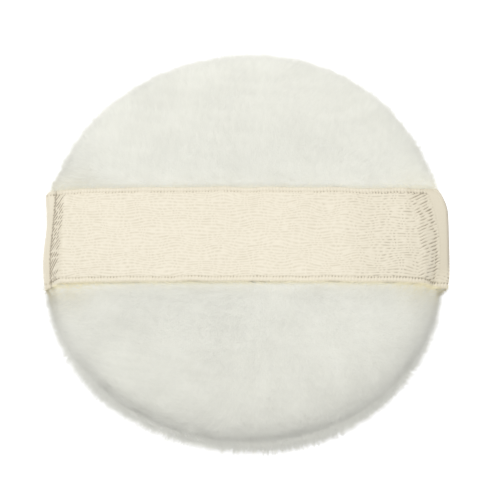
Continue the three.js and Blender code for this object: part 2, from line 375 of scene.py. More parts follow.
def softened(track, step, **padding):
    count = int(3 * FOLD_SOFTNESS / step)
    kernel = np.exp(-0.5 * (np.arange(-count, count + 1) * step / FOLD_SOFTNESS) ** 2)
    return np.convolve(np.pad(track, count, **padding), kernel / kernel.sum(), "valid")


def ribbon_run(across, way):
    """Even points from the middle of the back, over the rim and into the seam."""
    bend, crease, _ = end_lines(across, way)
    (x, level), fine = even_steps(RUN_STEPS, *ribbon_knots(across, way).T)
    x = softened(x, fine[1], mode="reflect", reflect_type="odd")
    level = softened(level, fine[1], mode="edge")
    shoulder, end = ease(24.0, 34.0, x), ease(bend, crease + 0.3, x)
    tilt = SHOULDER_TILT[way] * shoulder + (END_TILT[way] - SHOULDER_TILT[way]) * end
    droop = EDGE_DROOP * (ease(18.0, 33.0, x) + end)
    level = level + tilt * across - droop * (across / HALF_WIDTH) ** 2
    turned_in = np.clip((TURN_IN_LEVEL - level) / TURN_IN_DEPTH, 0, 1) * (fine > fine[-1] * TURN_IN_FROM)
    narrow = np.sqrt(np.maximum(x**2 - across**2, 0.0)) - x
    (x, level), at = even_steps(CELLS_ALONG + 1, x + turned_in * narrow, level)
    x[0] = 0.0
    return np.stack([way * x, across + ribbon_aside(way * x), level], -1), at


def ribbon_middle():
    """The ribbon's middle surface from the left end to the right, with the length along it."""
    rows, lengths = [], []
    for across in row_places:
        right, right_at = ribbon_run(across, 1)
        left, left_at = ribbon_run(across, -1)
        rows.append(join([left[:0:-1], right]))
        lengths.append(join([-left_at[:0:-1], right_at]))
    return np.stack(rows), np.stack(lengths)


middle, run = ribbon_middle()

# %% [markdown]
# ## Measuring from the ribbon
#
# The cloth and the pile need to know how high the ribbon lies, how far out it goes and where its end
# folds stand. Each measure is read off the ribbon's own rows into a table and looked up there.

# %% Look up the ribbon's height and reach
TABLE_STEP = 0.1
PLACE_STEPS = np.linspace(-38.0, 38.0, 761)
LEVEL_STEPS = np.linspace(9.8, 14.6, 49)
FOLD_FROM = 34.0


def look_up(table, steps, values, x, y):
    """Entries of a table with a line for each row; beside the ribbon its edge row serves."""
    share = np.clip((y - ribbon_aside(x)) / RIBBON_WIDTH + 0.5, 0, 1)
    rows = np.round(share * CELLS_ACROSS).astype(int)
    columns = np.round((np.clip(values, steps[0], steps[-1]) - steps[0]) / TABLE_STEP).astype(int)
    return np.array(table)[rows, columns]


def ribbon_level(x, y):
    """Height of the ribbon's middle surface above a place."""
    table = []
    for row in middle:
        over = row[row[:, 0].argmin():row[:, 0].argmax() + 1]
        table.append(np.interp(PLACE_STEPS, over[:, 0], over[:, 2]))
    return look_up(table, PLACE_STEPS, x, x, y)


def ribbon_reach(x, y):
    """How far the ribbon goes out at a place across it."""
    across = np.clip(y - ribbon_aside(x), -HALF_WIDTH, HALF_WIDTH)
    return np.where(x > 0, end_lines(across, 1)[2], end_lines(across, -1)[2])


def fold_reach(y, level, way):
    """How far out the ribbon's end fold stands at a height."""
    table = []
    for row in middle:
        fold = row[way * row[:, 0] > FOLD_FROM]
        fold = fold[fold[:, 2].argsort()]
        table.append(np.interp(LEVEL_STEPS, fold[:, 2], way * fold[:, 0]))
    return look_up(table, LEVEL_STEPS, level, way * FOLD_FROM, y)


# %% [markdown]
# ## The bed of the ribbon
#
# The taut ribbon sinks into the soft back cover: the ground is pressed down under it, swells up beside
# it and bulges out into its end folds, while the seam below keeps its place. A simulation could press
# it in, but would not follow the ribbon's run so closely.

# %% Bed the ribbon into the back cover
RIBBON_BED = 0.35  # from the ribbon's middle down to the ground
BED_FADE = 4.5  # how far beside the ribbon the cloth still follows it
BED_FADE_LOSS = 3.5  # less of that near the ends
LIFT_ENDS = (36.2, 38.6)
LIFT_LEVELS = (10.3, 12.3)  # the seam below them is not lifted
PRESS_END = {1: -1.15, -1: -0.3}  # where the pressing fades, from the ribbon's reach
BULGE_FOOT = (10.3, 11.3)
BULGE_TOP = (13.9, 14.5)


def bed_ribbon(points):
    """The back cover's ground with the bed of the ribbon in it."""
    x, y, z = np.moveaxis(points, -1, 0)
    out = np.abs(x)
    aside = np.abs(y - ribbon_aside(x)) - HALF_WIDTH
    room = ribbon_level(x, y) - RIBBON_BED * (1 - ease(0.0, 0.6, aside)) - z
    lift = np.clip(room, 0.0, 3.0) * (1 - ease(*LIFT_ENDS, out)) * ease(*LIFT_LEVELS, z)
    past = out - ribbon_reach(x, y) - np.where(x > 0, PRESS_END[1], PRESS_END[-1])
    press = np.clip(room, -2.5, 0.0) * (1 - ease(0.0, 0.8, past))
    press_fade = BED_FADE - BED_FADE_LOSS * ease(33.0, 36.0, out)
    z = z + (1 - ease(0.0, BED_FADE, aside)) * lift
    z = z + (1 - ease(0.0, press_fade, aside)) * press
    within = ease(*BULGE_FOOT, z) * (1 - ease(*BULGE_TOP, z))
    for way in (1, -1):
        bulge = np.clip(fold_reach(y, z, way) - RIBBON_BED - way * x, 0.0, 1.6) * (way * x > 35.0)
        x = x + way * bulge * within * (1 - ease(0.0, 1.0, aside))
    return np.stack([x, y, z], -1)


# %% [markdown]
# ## The two velour covers
#
# Each cover is one disc of velour: woven ground inside, pile outside, with the cut edge turned in at the
# rim as seam allowance. A subdivided sphere would lose the rim, so the cover is built as rings along the
# section, which puts the seam, the drawn-in rim and the turned-in edge where the sewing puts them.

# %% Build the grounds of both covers
COVER_TURNS = 400
COVER_RINGS = 110
COVER_REACH = {1: 39.9, -1: 40.0}  # the front cover stands out a little below the seam
BACK_SHIFT = 0.7  # of the back cover against the front one
PILE_DEPTH = 0.95
GROUND_REST = 0.7  # the ground's lowest level, above pile that is squeezed flat
SLACK_AT_SEAM = 0.15  # share of the slack that is left there
SEAM_LEVEL = 8.75
SEAM_GAP = 0.05
SEAM_DRAW_IN = 0.3
SEAM_DRAW_HEIGHT = 1.6
SEAM_GROOVE = 0.9  # deeper draw of the ground, where the pile parts
SEAM_SIDES = 0.45  # share of the draw away from the front, where the pile closes over the seam
SEAM_LIFT = 1.5  # how far the taut ribbon lifts the seam at its ends
SEAM_LIFT_TURN = 0.34  # radians
SEAM_LIFT_HEIGHT = 4.0
ENDS_DRAW_IN = 1.5  # of the front cover at the ribbon ends
ENDS_DRAW_TURN = 0.2  # radians
turns = even_turns(COVER_TURNS)


def finer(offsets):
    """Offsets of the settled skin, carried to the fine mesh."""
    waves = np.fft.rfft(offsets, axis=1)
    rounds = np.fft.irfft(waves, COVER_TURNS, axis=1) * (COVER_TURNS / offsets.shape[1])
    coarse, fine = np.linspace(0, 1, len(offsets)), np.linspace(0, 1, COVER_RINGS)
    return np.stack([np.interp(fine, coarse, column) for column in rounds.T], 1)


def from_ends(turn):
    """Angle from the nearer ribbon end."""
    return np.abs((turn + math.pi / 2) % math.pi - math.pi / 2)


def cover_ground(side, offsets):
    """Ground points of one cover as rings by turns, from the crown to the seam."""
    radius, height, outward, upward = even_section(COVER_RINGS, COVER_REACH[side])
    drop = finer(offsets) * np.linspace(1.0, SLACK_AT_SEAM, COVER_RINGS)[:, None] - PILE_DEPTH
    out = radius[:, None] + drop * outward[:, None]
    up = height[:, None] + drop * upward[:, None]
    up[-1] = SEAM_GAP
    at_seam = np.exp(-((up / SEAM_DRAW_HEIGHT) ** 2))
    drawn_in = SEAM_DRAW_IN + COVER_REACH[side] - COVER_REACH[1]
    shown = SEAM_SIDES + (1 - SEAM_SIDES) * ease(0.35, 0.85, -np.sin(turns))
    out -= (drawn_in + SEAM_GROOVE * at_seam) * at_seam * shown
    out = np.maximum(out, 0.0) * plan(turns)
    if side < 0:
        at_ends = np.exp(-((from_ends(turns) / ENDS_DRAW_TURN) ** 4))
        out -= ENDS_DRAW_IN * at_ends * ease(30.0, 37.0, out)
    lifted = SEAM_LIFT * np.exp(-((from_ends(turns) / SEAM_LIFT_TURN) ** 2))
    lifted = lifted * np.exp(-((up / SEAM_LIFT_HEIGHT) ** 2))
    level = SEAM_LEVEL + side * np.maximum(up, SEAM_GAP) + lifted
    points = all_round(out, level, turns)
    if side > 0:
        points[..., 1] += BACK_SHIFT * (1 - at_seam)
        return bed_ribbon(points)
    points[..., 2] = np.maximum(points[..., 2], GROUND_REST)
    return points


grounds = {"back": cover_ground(1, slack[0]), "front": cover_ground(-1, slack[1])}
print("Grounds, rings by turns:", grounds["back"].shape[:2])

# %% Close the covers with their allowances
CUT_EDGE = 32.1
ALLOWANCE = (0.15, 1.35)  # heights from the seam plane
ALLOWANCE_FOLD = 0.6  # inwards from the lining's reach
LINING_REACH = 37.6
LINING_CROWN = 6.85
LINING_RINGS = 16


def cover_mesh(name, ground, side):
    """A closed cover: ground outside, turned-in allowance, lining side within."""
    low, high = ALLOWANCE
    (out, up), _ = even_steps(LINING_RINGS + 1, *dense_section(LINING_REACH, LINING_CROWN))
    out, up = out[:0:-1], up[:0:-1]
    kept = up > high
    inner_out = join([[CUT_EDGE, CUT_EDGE, LINING_REACH - ALLOWANCE_FOLD], out[kept]])
    inner_up = join([[low, high, high], up[kept]])
    inner = all_round(inner_out[:, None], SEAM_LEVEL + side * inner_up[:, None], turns)
    poles = np.array([ground[0].mean(0), [0, 0, SEAM_LEVEL + side * LINING_CROWN]])
    return closed_round(name, join([ground[1:], inner]), poles, turned_over=side < 0)


sides = {"back": 1, "front": -1}
covers = {name: cover_mesh(name + "_velour", grounds[name], side) for name, side in sides.items()}
print("Covers closed:", list(covers))

# %% [markdown]
# ## The velour finish
#
# Velour is matte: its cut fibres scatter light in all directions and glow a little at grazing angles,
# so a rough shader with some sheen suits it. The colour is an off-white with a trace of green-yellow.
# Blotches in the ground stand for where the pile is brushed, and each fibre has a tone of its own. Beside
# the ribbon the pile gets a painted cream reflection of the ribbon and painted shade.


# %% Make the velour finishes
def new_finish(name, roughness, sheen=0.0):
    """A material with even values on the shader's own sockets, and its nodes."""
    finish = bpy.data.materials.new(name)
    finish.use_nodes = True
    tree = finish.node_tree
    shader = tree.nodes["Principled BSDF"]
    shader.inputs["Roughness"].default_value = roughness
    shader.inputs["Sheen Weight"].default_value = sheen
    return finish, tree, shader


def place_texture(tree, kind, **values):
    """A pattern in the piece's own coordinates."""
    place = tree.nodes.new("ShaderNodeTexCoord")
    texture = tree.nodes.new("ShaderNodeTex" + kind)
    for socket, value in values.items():
        texture.inputs[socket].default_value = value
    tree.links.new(place.outputs["Object"], texture.inputs["Vector"])
    return texture


def point_value(tree, name):
    """The value that each point of a piece carries under a name."""
    value = tree.nodes.new("ShaderNodeAttribute")
    value.attribute_name = name
    return value.outputs["Fac"]


def colour_ramp(tree, value, *stops):
    """Colours along a value, as (position, colour) stops."""
    ramp = tree.nodes.new("ShaderNodeValToRGB")
    elements = ramp.color_ramp.elements
    for index, (position, colour) in enumerate((stops[0], stops[-1])):
        elements[index].position = position
        elements[index].color = (*colour, 1.0)
    for position, colour in stops[1:-1]:
        elements.new(position).color = (*colour, 1.0)
    tree.links.new(value, ramp.inputs["Fac"])
    return ramp.outputs["Color"]


def paint(tree, shader, value, *stops):
    tree.links.new(colour_ramp(tree, value, *stops), shader.inputs["Base Color"])


def add_bump(tree, shader, value, strength, distance):
    bump = tree.nodes.new("ShaderNodeBump")
    bump.inputs["Strength"].default_value = strength
    bump.inputs["Distance"].default_value = distance
    tree.links.new(value, bump.inputs["Height"])
    tree.links.new(bump.outputs["Normal"], shader.inputs["Normal"])


VELOUR_SHADE = (0.80, 0.80, 0.74)
VELOUR_MAIN = (0.885, 0.885, 0.82)
VELOUR_LIGHT = (0.95, 0.95, 0.89)
# painted cream reflection and shade of the ribbon on the pile beside it
VELOUR_PAINTED_BOUNCE = (0.97, 0.90, 0.70)  # tint beside the cream ribbon

velour, tree, shader = new_finish("velour_ground", 1.0, sheen=0.2)
blotches = place_texture(tree, "Noise", Scale=160.0, Detail=3.0).outputs["Fac"]
paint(tree, shader, blotches, (0.3, VELOUR_SHADE), (0.7, VELOUR_MAIN))
fuzz = place_texture(tree, "Noise", Scale=2600.0, Detail=2.0).outputs["Fac"]
add_bump(tree, shader, fuzz, 0.4, 0.0003)

pile_finish, tree, shader = new_finish("velour_pile", 1.0, sheen=0.05)
pile_stops = (0.0, VELOUR_SHADE), (0.5, VELOUR_MAIN), (1.0, VELOUR_LIGHT)
# the pile's colour multiplied by the ribbon's painted reflection and shade
tint = tree.nodes.new("ShaderNodeMix")
tint.data_type, tint.blend_type = "RGBA", "MULTIPLY"
tree.links.new(point_value(tree, "painted_bounce"), tint.inputs[0])
tree.links.new(colour_ramp(tree, point_value(tree, "tone"), *pile_stops), tint.inputs[6])
tint.inputs[7].default_value = (*VELOUR_PAINTED_BOUNCE, 1.0)
tree.links.new(tint.outputs[2], shader.inputs["Base Color"])
for name, cover in covers.items():
    dress(cover, velour, name + "_cover")
    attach(cover, "puff")

# %% [markdown]
# ## The fibres
#
# Velour's pile is thousands of short cut fibres. Hair particles would not leave this file as geometry,
# so each fibre is a slim three-sided spike, rooted in the ground and tapering to nothing. It borrows the
# ground's normals, so light sees the soft surface of the pile and not every facet.

# %% Plant roots and raise fibres
FIBRE_ROUNDNESS = 0.45  # share of a fibre's own roundness in its shading
ROOT_TONE = 0.45  # the roots lie in the shade of the tips
TIP_TONE = 0.35


def grid_normals(points, side):
    """Outward normals of rings of points."""
    round_way = np.roll(points, -1, 1) - np.roll(points, 1, 1)
    down_way = np.gradient(points, axis=0)
    normals = np.cross(round_way, down_way) * -side
    normals[0] = (0, 0, side)
    return unit(normals)


def plant(ground, normals, count, draw):
    """Roots spread evenly over the ground by area, with their normals and the area."""
    a, b = ground[:-1], np.roll(ground, -1, 1)[:-1]
    c, d = ground[1:], np.roll(ground, -1, 1)[1:]
    area = np.linalg.norm(np.cross(d - a, c - b), axis=-1) / 2
    chosen = draw.choice(area.size, count, p=(area / area.sum()).ravel())
    i, j = np.divmod(chosen, COVER_TURNS)
    u, v = draw.random((count, 1)), draw.random((count, 1))
    k = (j + 1) % COVER_TURNS

    def between(grid):
        near = grid[i, j] * (1 - v) + grid[i, k] * v
        far = grid[i + 1, j] * (1 - v) + grid[i + 1, k] * v
        return near * (1 - u) + far * u

    return between(ground), unit(between(normals)), area.sum()


def spikes(name, roots, tips, normals, tip_normals, radius, tones, painted_bounce):
    """Three-sided fibres with a tone from root to tip and a bake map of their own."""
    count = len(roots)
    way = unit(tips - roots)
    across = unit(np.cross(way, normals + 1e-3))
    other = np.cross(way, across)
    points, seen = np.empty((count, 4, 3)), np.empty((count, 4, 3))
    for corner in range(3):
        turn = corner * 2 * math.pi / 3
        outward = math.cos(turn) * across + math.sin(turn) * other
        points[:, corner] = roots + radius[:, None] * outward
        seen[:, corner] = (1 - FIBRE_ROUNDNESS) * normals + FIBRE_ROUNDNESS * outward
    points[:, 3], seen[:, 3] = tips, tip_normals
    first = np.arange(count)[:, None] * 4
    sides = ((0, 1, 3), (1, 2, 3), (2, 0, 3))
    faces = np.stack([first + np.array(corners) for corners in sides], 1).reshape(-1, 3)
    made = new_mesh(name, points.reshape(-1, 3), faces)
    made.data.normals_split_custom_set_from_vertices(unit(seen).reshape(-1, 3))
    add_tone(made, np.stack([tones * ROOT_TONE] * 3 + [TIP_TONE + tones * (1 - TIP_TONE)], 1))
    add_tone(made, painted_bounce[:, (0, 0, 0, 1)], "painted_bounce")
    columns = math.ceil(math.sqrt(count))
    cell = np.stack(np.divmod(np.arange(count), columns), -1)[:, None, None]
    thirds = np.array([[(f / 3 + 0.02, 0.03), (f / 3 + 0.31, 0.03), (f / 3 + 0.165, 0.97)] for f in range(3)])
    add_bake_map(made, (cell + thirds) / columns)
    return made


# %% [markdown]
# ## The pile beside the ribbon
#
# The ribbon parts the pile. Under it the fibres lie flat, in front they lie along its edge, behind they
# reach a little over it, and short ones fill the folds at its ends. The pile next to it also gets a painted
# cream reflection of the ribbon and painted shade, most of it in front.

# %% Measure how the ribbon changes the pile
FOLD_PILE_FROM = 36.0
FOLD_PILE_EDGE = {1: -0.4, -1: -1.3}  # from the ribbon's edge
BESIDE = (0.3, 2.0)
ALONG_EDGE = (0.6, 1.8)  # share that lies along the ribbon's edge, and more of it close in front
FRONT_STOP = 0.06  # where the tips stop, from the ribbon's edge
BACK_STOP = -0.3


def near_ribbon(roots, side):
    """Distance from the ribbon's edge, and which fibres it covers, fill its folds or lie beside."""
    x, y = roots[:, 0], roots[:, 1]
    edge = np.abs(y - ribbon_aside(x)) - HALF_WIDTH
    inner = np.abs(x) < ribbon_reach(x, y) - 0.2
    fold_edge = np.where(x > 0, FOLD_PILE_EDGE[1], FOLD_PILE_EDGE[-1])
    in_fold = (edge > fold_edge) & (y < 0) & (np.abs(x) > FOLD_PILE_FROM)
    covered = (side > 0) * (edge < 0.05) * (inner | (x < 0) | (y < CORNER_FROM[1])) * ~in_fold
    beside = (side > 0) * (1 - covered) * (1 - ease(*BESIDE, edge)) * ~in_fold
    return edge, covered, in_fold, beside


def on_ground(ways, up):
    return unit(ways - (ways * up).sum(-1, keepdims=True) * up)


def pile_flow(roots, up, swing, edge, beside):
    """The way each fibre leans: outwards with a swing, or along the ribbon's edge."""
    nap = on_ground(roots * (1, 1, 0) + (1e-6, 0, 0), up)
    flow = np.cos(swing)[:, None] * nap + np.sin(swing)[:, None] * np.cross(up, nap)
    close_in_front = (roots[:, 1] < 0) * (1 - ease(0.1, 0.7, edge))
    along_edge = (ALONG_EDGE[0] + ALONG_EDGE[1] * close_in_front) * np.sign(flow[:, 0])
    against = np.stack([along_edge, -np.sign(roots[:, 1]), 0 * swing], -1)
    return on_ground(unit(flow * (1 - beside[:, None]) + against * beside[:, None]), up)


def stop_at_ribbon(tips, roots, free):
    """Keeps the tips of the free fibres from growing through the ribbon."""
    x, y = roots[:, 0], roots[:, 1]
    stopped = free & (np.abs(x) < np.minimum(STITCH_REACH, ribbon_reach(x, y) - 1.2))
    nearest = HALF_WIDTH + np.where(y < 0, FRONT_STOP, BACK_STOP)
    line = ribbon_aside(tips[:, 0])
    tip_side = np.sign(y) * np.maximum(np.abs(tips[:, 1] - line), nearest) + line
    tips[stopped, 1] = tip_side[stopped]


def painted_ribbon_bounce(places):
    """How much painted cream reflection and painted shade of the ribbon falls on the pile beside it."""
    x, y = places[:, 0], places[:, 1] - ribbon_aside(places[:, 0])
    edge = np.maximum(np.abs(y) - HALF_WIDTH, 0)
    ends = ease(26.0, 33.0, np.abs(x))
    strength = np.where(y < 0, 0.95 + 0.35 * ends, 0.4 + 0.1 * ends)
    fade = np.where(y < 0, 0.85, 1.0) + 1.2 * ends
    return np.minimum(strength * np.exp(-edge / fade), 1.0)


# %% [markdown]
# ## Growing the pile
#
# Neighbouring fibres lean nearly the same way, as brushed pile does, and the lean drifts across the
# cover. Some strays stand out of the nap, the powder side is fluffier, and at the back rim wisps soften
# the outline. Fine fibres let light through, so near the rim their normals are turned up to the light,
# and they cast no shadow on each other.

# %% Grow the pile of both covers
PILE_PER_MM2 = 28.0
PILE_LENGTH = {1: (1.25, 1.95), -1: (1.3, 2.9)}
PILE_RADIUS = (0.018, 0.032)
BESIDE_RADIUS = 0.8  # more thickness close beside the ribbon
PILE_LEAN = {1: 0.95, -1: 0.7}  # radians from the ground's normal
LEAN_SPREAD = {1: 0.08, -1: 0.18}
LEAN_LIMITS = (0.3, 1.3)
STRAY_SHARE = {1: 0.05, -1: 0.2}  # of fibres that stand out of the nap
STRAY_LENGTH = {1: 1.25, -1: 1.3}
STRAY_RISE = 0.45
LYING_LEAN = 1.45  # under the ribbon
HIDDEN_LENGTH = 0.3  # under the ribbon's ends
FOLD_LENGTH = 0.75
LOOSE_RIM = (0.75, 0.3)  # looser pile at the back rim, by how far the normal points up
LOOSE_LEAN = 0.26
LOOSE_SPREAD = 0.1
LOOSE_TONE = 0.25
LOOSE_GLOW = 2.0
WISP_LENGTH = 0.33  # mean share that the back rim's fibres are longer
WISP_TUFTS = 0.6
WISP_CAP = 1.4
# painted light: fibres close beside the ribbon get a lighter tone against the shade there
BESIDE_PAINTED_LIGHT = 0.7
BESIDE_GLOW = 2.0
RIM_GLOW = {1: (0.35, 0.5), -1: (0.7, 1.2)}  # how much roots and tips at the rim take light from above
RIM_GLOW_FROM = {1: (0.4, 0.0), -1: (-0.95, -0.5)}
FIBRES_A_PIECE = 60000


def grow_pile(name, side, seed):
    """Grows one cover's pile and hands it over in pieces."""
    draw = np.random.default_rng(seed)
    normals = grid_normals(grounds[name], side)
    area = plant(grounds[name], normals, 1, draw)[2]
    count = int(area * PILE_PER_MM2)
    roots, up, _ = plant(grounds[name], normals, count, draw)
    edge, covered, in_fold, beside = near_ribbon(roots, side)
    loose = (side > 0) * ease(*LOOSE_RIM, up[:, 2]) * ease(-8.0, 8.0, roots[:, 1])

    swing = 0.8 * drift(seed + 1, 45.0)(roots) + 0.2 * drift(seed + 2, 5.0)(roots)
    swing += draw.normal(0, 0.4, count)
    lean_noise = 0.8 * drift(seed + 3, 2.2)(roots) + draw.normal(0, 1, count)
    lean = PILE_LEAN[side] + LOOSE_LEAN * loose
    lean = lean + (LEAN_SPREAD[side] + LOOSE_SPREAD * loose) * lean_noise
    length = draw.uniform(*PILE_LENGTH[side], count)
    wisps = np.random.default_rng(seed + 6).exponential(WISP_LENGTH, count)
    wisps *= np.clip(1 + WISP_TUFTS * drift(seed + 7, 3.0)(roots), 0, 2)
    length *= 1 + loose * np.minimum(wisps, WISP_CAP)
    stray = draw.random(count) < STRAY_SHARE[side]
    length[stray] *= STRAY_LENGTH[side]
    lean[stray] -= STRAY_RISE
    length[in_fold] *= FOLD_LENGTH
    length[covered & (np.abs(roots[:, 0]) > FOLD_PILE_FROM)] *= HIDDEN_LENGTH
    lean = np.where(covered, LYING_LEAN, np.clip(lean, *LEAN_LIMITS))[:, None]

    flow = pile_flow(roots, up, swing, edge, beside)
    tips = roots + length[:, None] * (np.cos(lean) * up + np.sin(lean) * flow)
    stop_at_ribbon(tips, roots, (side > 0) & ~covered)
    tips[:, 2] = np.maximum(tips[:, 2], 0.02)

    radius = draw.uniform(*PILE_RADIUS, count) * (1 + BESIDE_RADIUS * beside * (edge < 0.7))
    tones = 0.5 + 0.14 * drift(seed + 4, 9.0)(roots) + 0.22 * drift(seed + 5, 1.0)(roots)
    tones = np.clip(tones + draw.normal(0, 0.16, count), 0, 1) + BESIDE_PAINTED_LIGHT * beside + LOOSE_TONE * loose
    # painted cream reflection and shade of the ribbon, none under it
    painted_bounce = np.stack([painted_ribbon_bounce(places) for places in (roots, tips)], 1)
    painted_bounce *= (side > 0) * (1 - covered[:, None])
    glow = (ease(*RIM_GLOW_FROM[side], up[:, 2]) + LOOSE_GLOW * loose)[:, None] * (0, 0, 1)
    level_way = BESIDE_GLOW * beside[:, None] * (0, 0, 1)
    root_normals, tip_normals = (unit(up + share * glow + level_way) for share in RIM_GLOW[side])

    groups = np.array_split(draw.permutation(count), math.ceil(count / FIBRES_A_PIECE))
    for number, chosen in enumerate(groups, 1):
        values = (v[chosen] for v in (roots, tips, root_normals, tip_normals, radius, tones, painted_bounce))
        made = spikes(f"{name}_pile_{number}", *values)
        dress(made, pile_finish, name + "_cover")
        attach(made, "puff")
        made.visible_shadow = False
        made.visible_diffuse = side > 0
    print(name, "pile: fibres", count, "on", round(area), "mm2")


grow_pile("back", 1, 100)
grow_pile("front", -1, 200)

# %% [markdown]
# ## Weave and selvedge
#
# Satin's face is long warp floats that lie almost side by side. The rows wander a little, with short
# gaps of uneven strength between them. The woven edge is a row of small beads with a row of uneven ticks
# inside it. A strip with a bump map would show none of that from the side, so all of it is raised in the
# fine grid of the ribbon itself.

# %% Patterns of the weave
ROW_WANDER = 0.25
SELVEDGE = 0.88
BEAD_PITCH = 0.62


def shuffle(row, number):
    """A repeatable number from nought to one for each float."""
    return np.modf(np.abs(np.sin(row * 12.9898 + number * 78.233) * 43758.5453))[0]


def satin_face(length, across, seed, rows=0.57, gap_width=0.14, spacing=1.3, wander=ROW_WANDER, least=0.7):
    """Heights of a satin face: wandering rows of floats with short gaps between them."""
    places = np.stack([length, across, 0 * length], -1)
    level = (across + wander * drift(seed, 6.0)(places)) / rows
    row = np.round(level)
    gap = np.exp(-(((level - row) * rows / gap_width) ** 2))
    place = length / spacing + shuffle(row + seed, 0.37) + 0.4 * drift(seed + 1, 2.5)(places)
    number = np.floor(place)
    fade = np.sin(math.pi * (place - number)) ** 0.7
    return 1 - gap * fade * (least + (1 - least) * shuffle(row + seed, number))


def turned(length, across, angle):
    """The same places in lines turned by an angle."""
    c, s = math.cos(angle), math.sin(angle)
    return length * c + across * s, across * c - length * s


def selvedge_beads(length, across):
    """Heights of the beaded edge and of the ticks inside it."""
    from_edge = HALF_WIDTH - np.abs(across)
    wander = 0.12 * drift(31, 7.0)(np.stack([length, across, 0 * length], -1))
    wave = np.sin(2 * math.pi * (length / BEAD_PITCH + wander))
    crest = np.sin(math.pi * np.clip(from_edge / SELVEDGE, 0, 1)) ** 0.7
    bead = crest * (0.65 + 0.35 * wave)
    tick = np.exp(-(((from_edge - SELVEDGE - 0.05) / 0.22) ** 2)) * (0.5 - 0.5 * wave) ** 1.5
    uneven = shuffle(np.floor(length / BEAD_PITCH + wander + 0.25), np.sign(across))
    return bead, tick * (0.35 + 0.65 * uneven)


# %% [markdown]
# ## The ribbon's ends
#
# The seam pulls each end askew: in a band before the crease the floats turn and the gaps between them
# open. Outside the crease a smooth strip leads down to the rim. Each zone is a soft mask measured from
# the crease, so that the weave changes without a step.

# %% Find the zones near the ends
BAND_FROM = {1: -4.0, -1: -2.3}  # all measured outwards from the crease
BAND_FULL = {1: -2.0, -1: -1.3}
BAND_FADE = {1: 0.2, -1: -0.5}
BAND_END = {1: 1.2, -1: 0.5}
CREASE_WIDTH = {1: 0.4, -1: 0.3}
STRIP_FROM = {1: 0.7, -1: 0.1}

across = row_places[:, None] + 0 * run
from_edge = HALF_WIDTH - np.abs(across)
inside = ease(SELVEDGE, SELVEDGE + 0.3, from_edge)
out = np.abs(middle[..., 0])
is_right = middle[..., 0] > 0


def by_end(values):
    """The right end's value or the left end's for each point."""
    return np.where(is_right, values[1], values[-1])


both_ends = zip(end_lines(across, 1), end_lines(across, -1))
_, crease, reach = (by_end({1: right, -1: left}) for right, left in both_ends)
past, before_end = out - crease, reach - out
upper_side = ease(12.6, 13.4, middle[..., 2])
band = ease(by_end(BAND_FROM), by_end(BAND_FULL), past) * upper_side
band = band * (1 - ease(by_end(BAND_FADE), by_end(BAND_END), past))
fold = np.exp(-((past / by_end(CREASE_WIDTH)) ** 2)) * upper_side
strip = ease(0.0, 0.4, past - by_end(STRIP_FROM)) * upper_side
last = ease(0.6, 0.1, before_end) * is_right
plain = 1 - np.maximum(band, strip)
print("Share of even weave:", round(plain.mean(), 2))

# %% [markdown]
# ## Raising the weave
#
# The ribbon lies a little unevenly and its edges wander. Floats, beads and ticks are raised from that
# surface along its normals. A tone goes with them: painted shade darkens the gaps, ticks, bead hollows,
# band, crease, strip and edges, where their small relief could not cast enough shade, and the face is
# painted darker towards its right end.

# %% Lay the ribbon and raise its weave
RIBBON_THICKNESS = 0.3
EDGE_WANDER = 0.08
RIGHT_SIDE = (14.0, 30.0)  # where the weave changes towards the right end
RIGHT_CALM = 0.12
FLOAT_HEIGHT = 0.08
BAND_HEIGHT = 1.2
STRIP_SMOOTHNESS = 0.8
BEAD_HEIGHT = 0.09
TICK_DEPTH = 0.12
END_TWIST = {1: 0.5, -1: 0.87}  # radians that the floats turn where the seam pulls the ends askew
END_FLOATS = {
    1: dict(rows=0.6, gap_width=0.14, spacing=3.2),
    -1: dict(rows=0.5, gap_width=0.13, spacing=2.2),
}


def surface_normals(points):
    across_way, along_way = np.gradient(points, axis=0), np.gradient(points, axis=1)
    return unit(np.cross(along_way, across_way))


lie = 0.05 * drift(41, 14.0)(middle * (1, 1, 0))
folded = middle + surface_normals(middle) * lie[..., None]
line = run[0][:, None] * (1, 0, 0)
front, back = (EDGE_WANDER * drift(seed, 6.0)(line) for seed in (42, 43))
edge_shift = np.where(across < 0, front - EDGE_WANDER, back)
folded[..., 1] += edge_shift * (np.abs(across) / HALF_WIDTH) ** 3
face_up = surface_normals(folded)

floats = satin_face(run, across, 51, wander=ROW_WANDER - RIGHT_CALM * ease(*RIGHT_SIDE, run))
for way in (1, -1):
    askew = band * (is_right if way > 0 else ~is_right)
    length, level = turned(run, across, END_TWIST[way])
    pulled = satin_face(length, level, 55, **END_FLOATS[way], wander=0.06, least=0.65)
    floats = floats * (1 - askew) + pulled * askew
floats *= inside
worn = 1 - strip * is_right * (across > 0)  # where the pile covers the back corner
bead, tick = (pattern * worn for pattern in selvedge_beads(run, across))

upper_relief = FLOAT_HEIGHT * (1 + BAND_HEIGHT * band - STRIP_SMOOTHNESS * strip) * floats
upper_relief = upper_relief + BEAD_HEIGHT * bead - TICK_DEPTH * tick
lower_relief = 0.5 * FLOAT_HEIGHT * satin_face(run, across, 61) * inside
half_thickness = RIBBON_THICKNESS / 2 * (0.6 + 0.4 * ease(0.0, 0.35, from_edge))
upper = folded + face_up * (half_thickness + upper_relief)[..., None]
lower = folded - face_up * (half_thickness + lower_relief)[..., None]
upper_normals, lower_normals = surface_normals(upper), -surface_normals(lower)
print("Weave relief, mm:", round(upper_relief.min(), 3), round(upper_relief.max(), 3))

